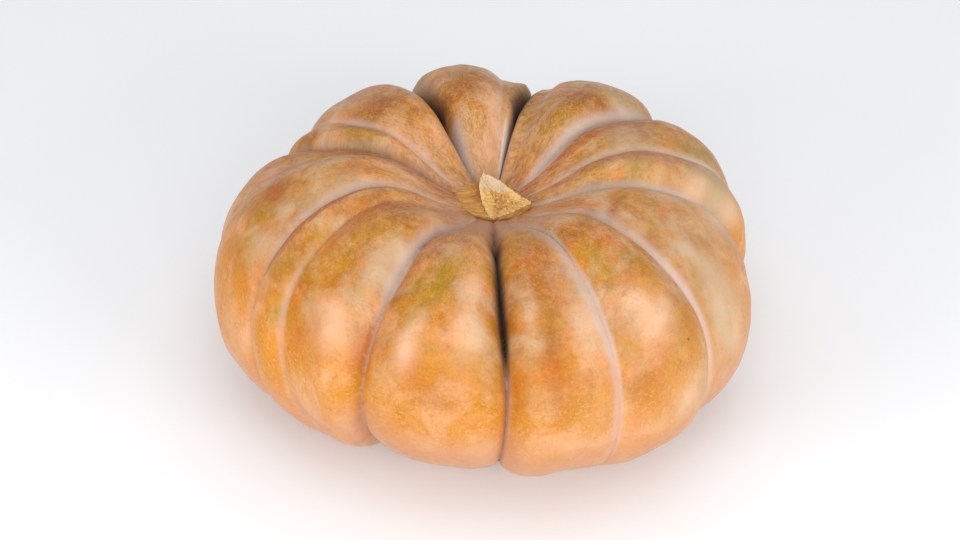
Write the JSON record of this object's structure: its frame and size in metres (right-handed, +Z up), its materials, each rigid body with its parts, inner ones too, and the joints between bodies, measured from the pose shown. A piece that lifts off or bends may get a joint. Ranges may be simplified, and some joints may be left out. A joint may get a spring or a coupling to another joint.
{
  "type": "pumpkin",
  "caption": "Broad, flat winter pumpkin with deep uneven ribs and a short, torn cork-like stem stub in its top hollow, resting on its underside.",
  "frame": {"origin": "on the ground, under the middle of the fruit's outline seen from above", "axes": "+Z up through the stem end, -Y towards the deep front fissure, +X to the right of it"},
  "size_m": [0.3338, 0.3344, 0.1576],
  "materials": {
    "rind": "satin",
    "stem_cork": "matte"
  },
  "bodies": {
    "root": {"fruit": "rind", "stem": "stem_cork"}
  },
  "joints": []
}
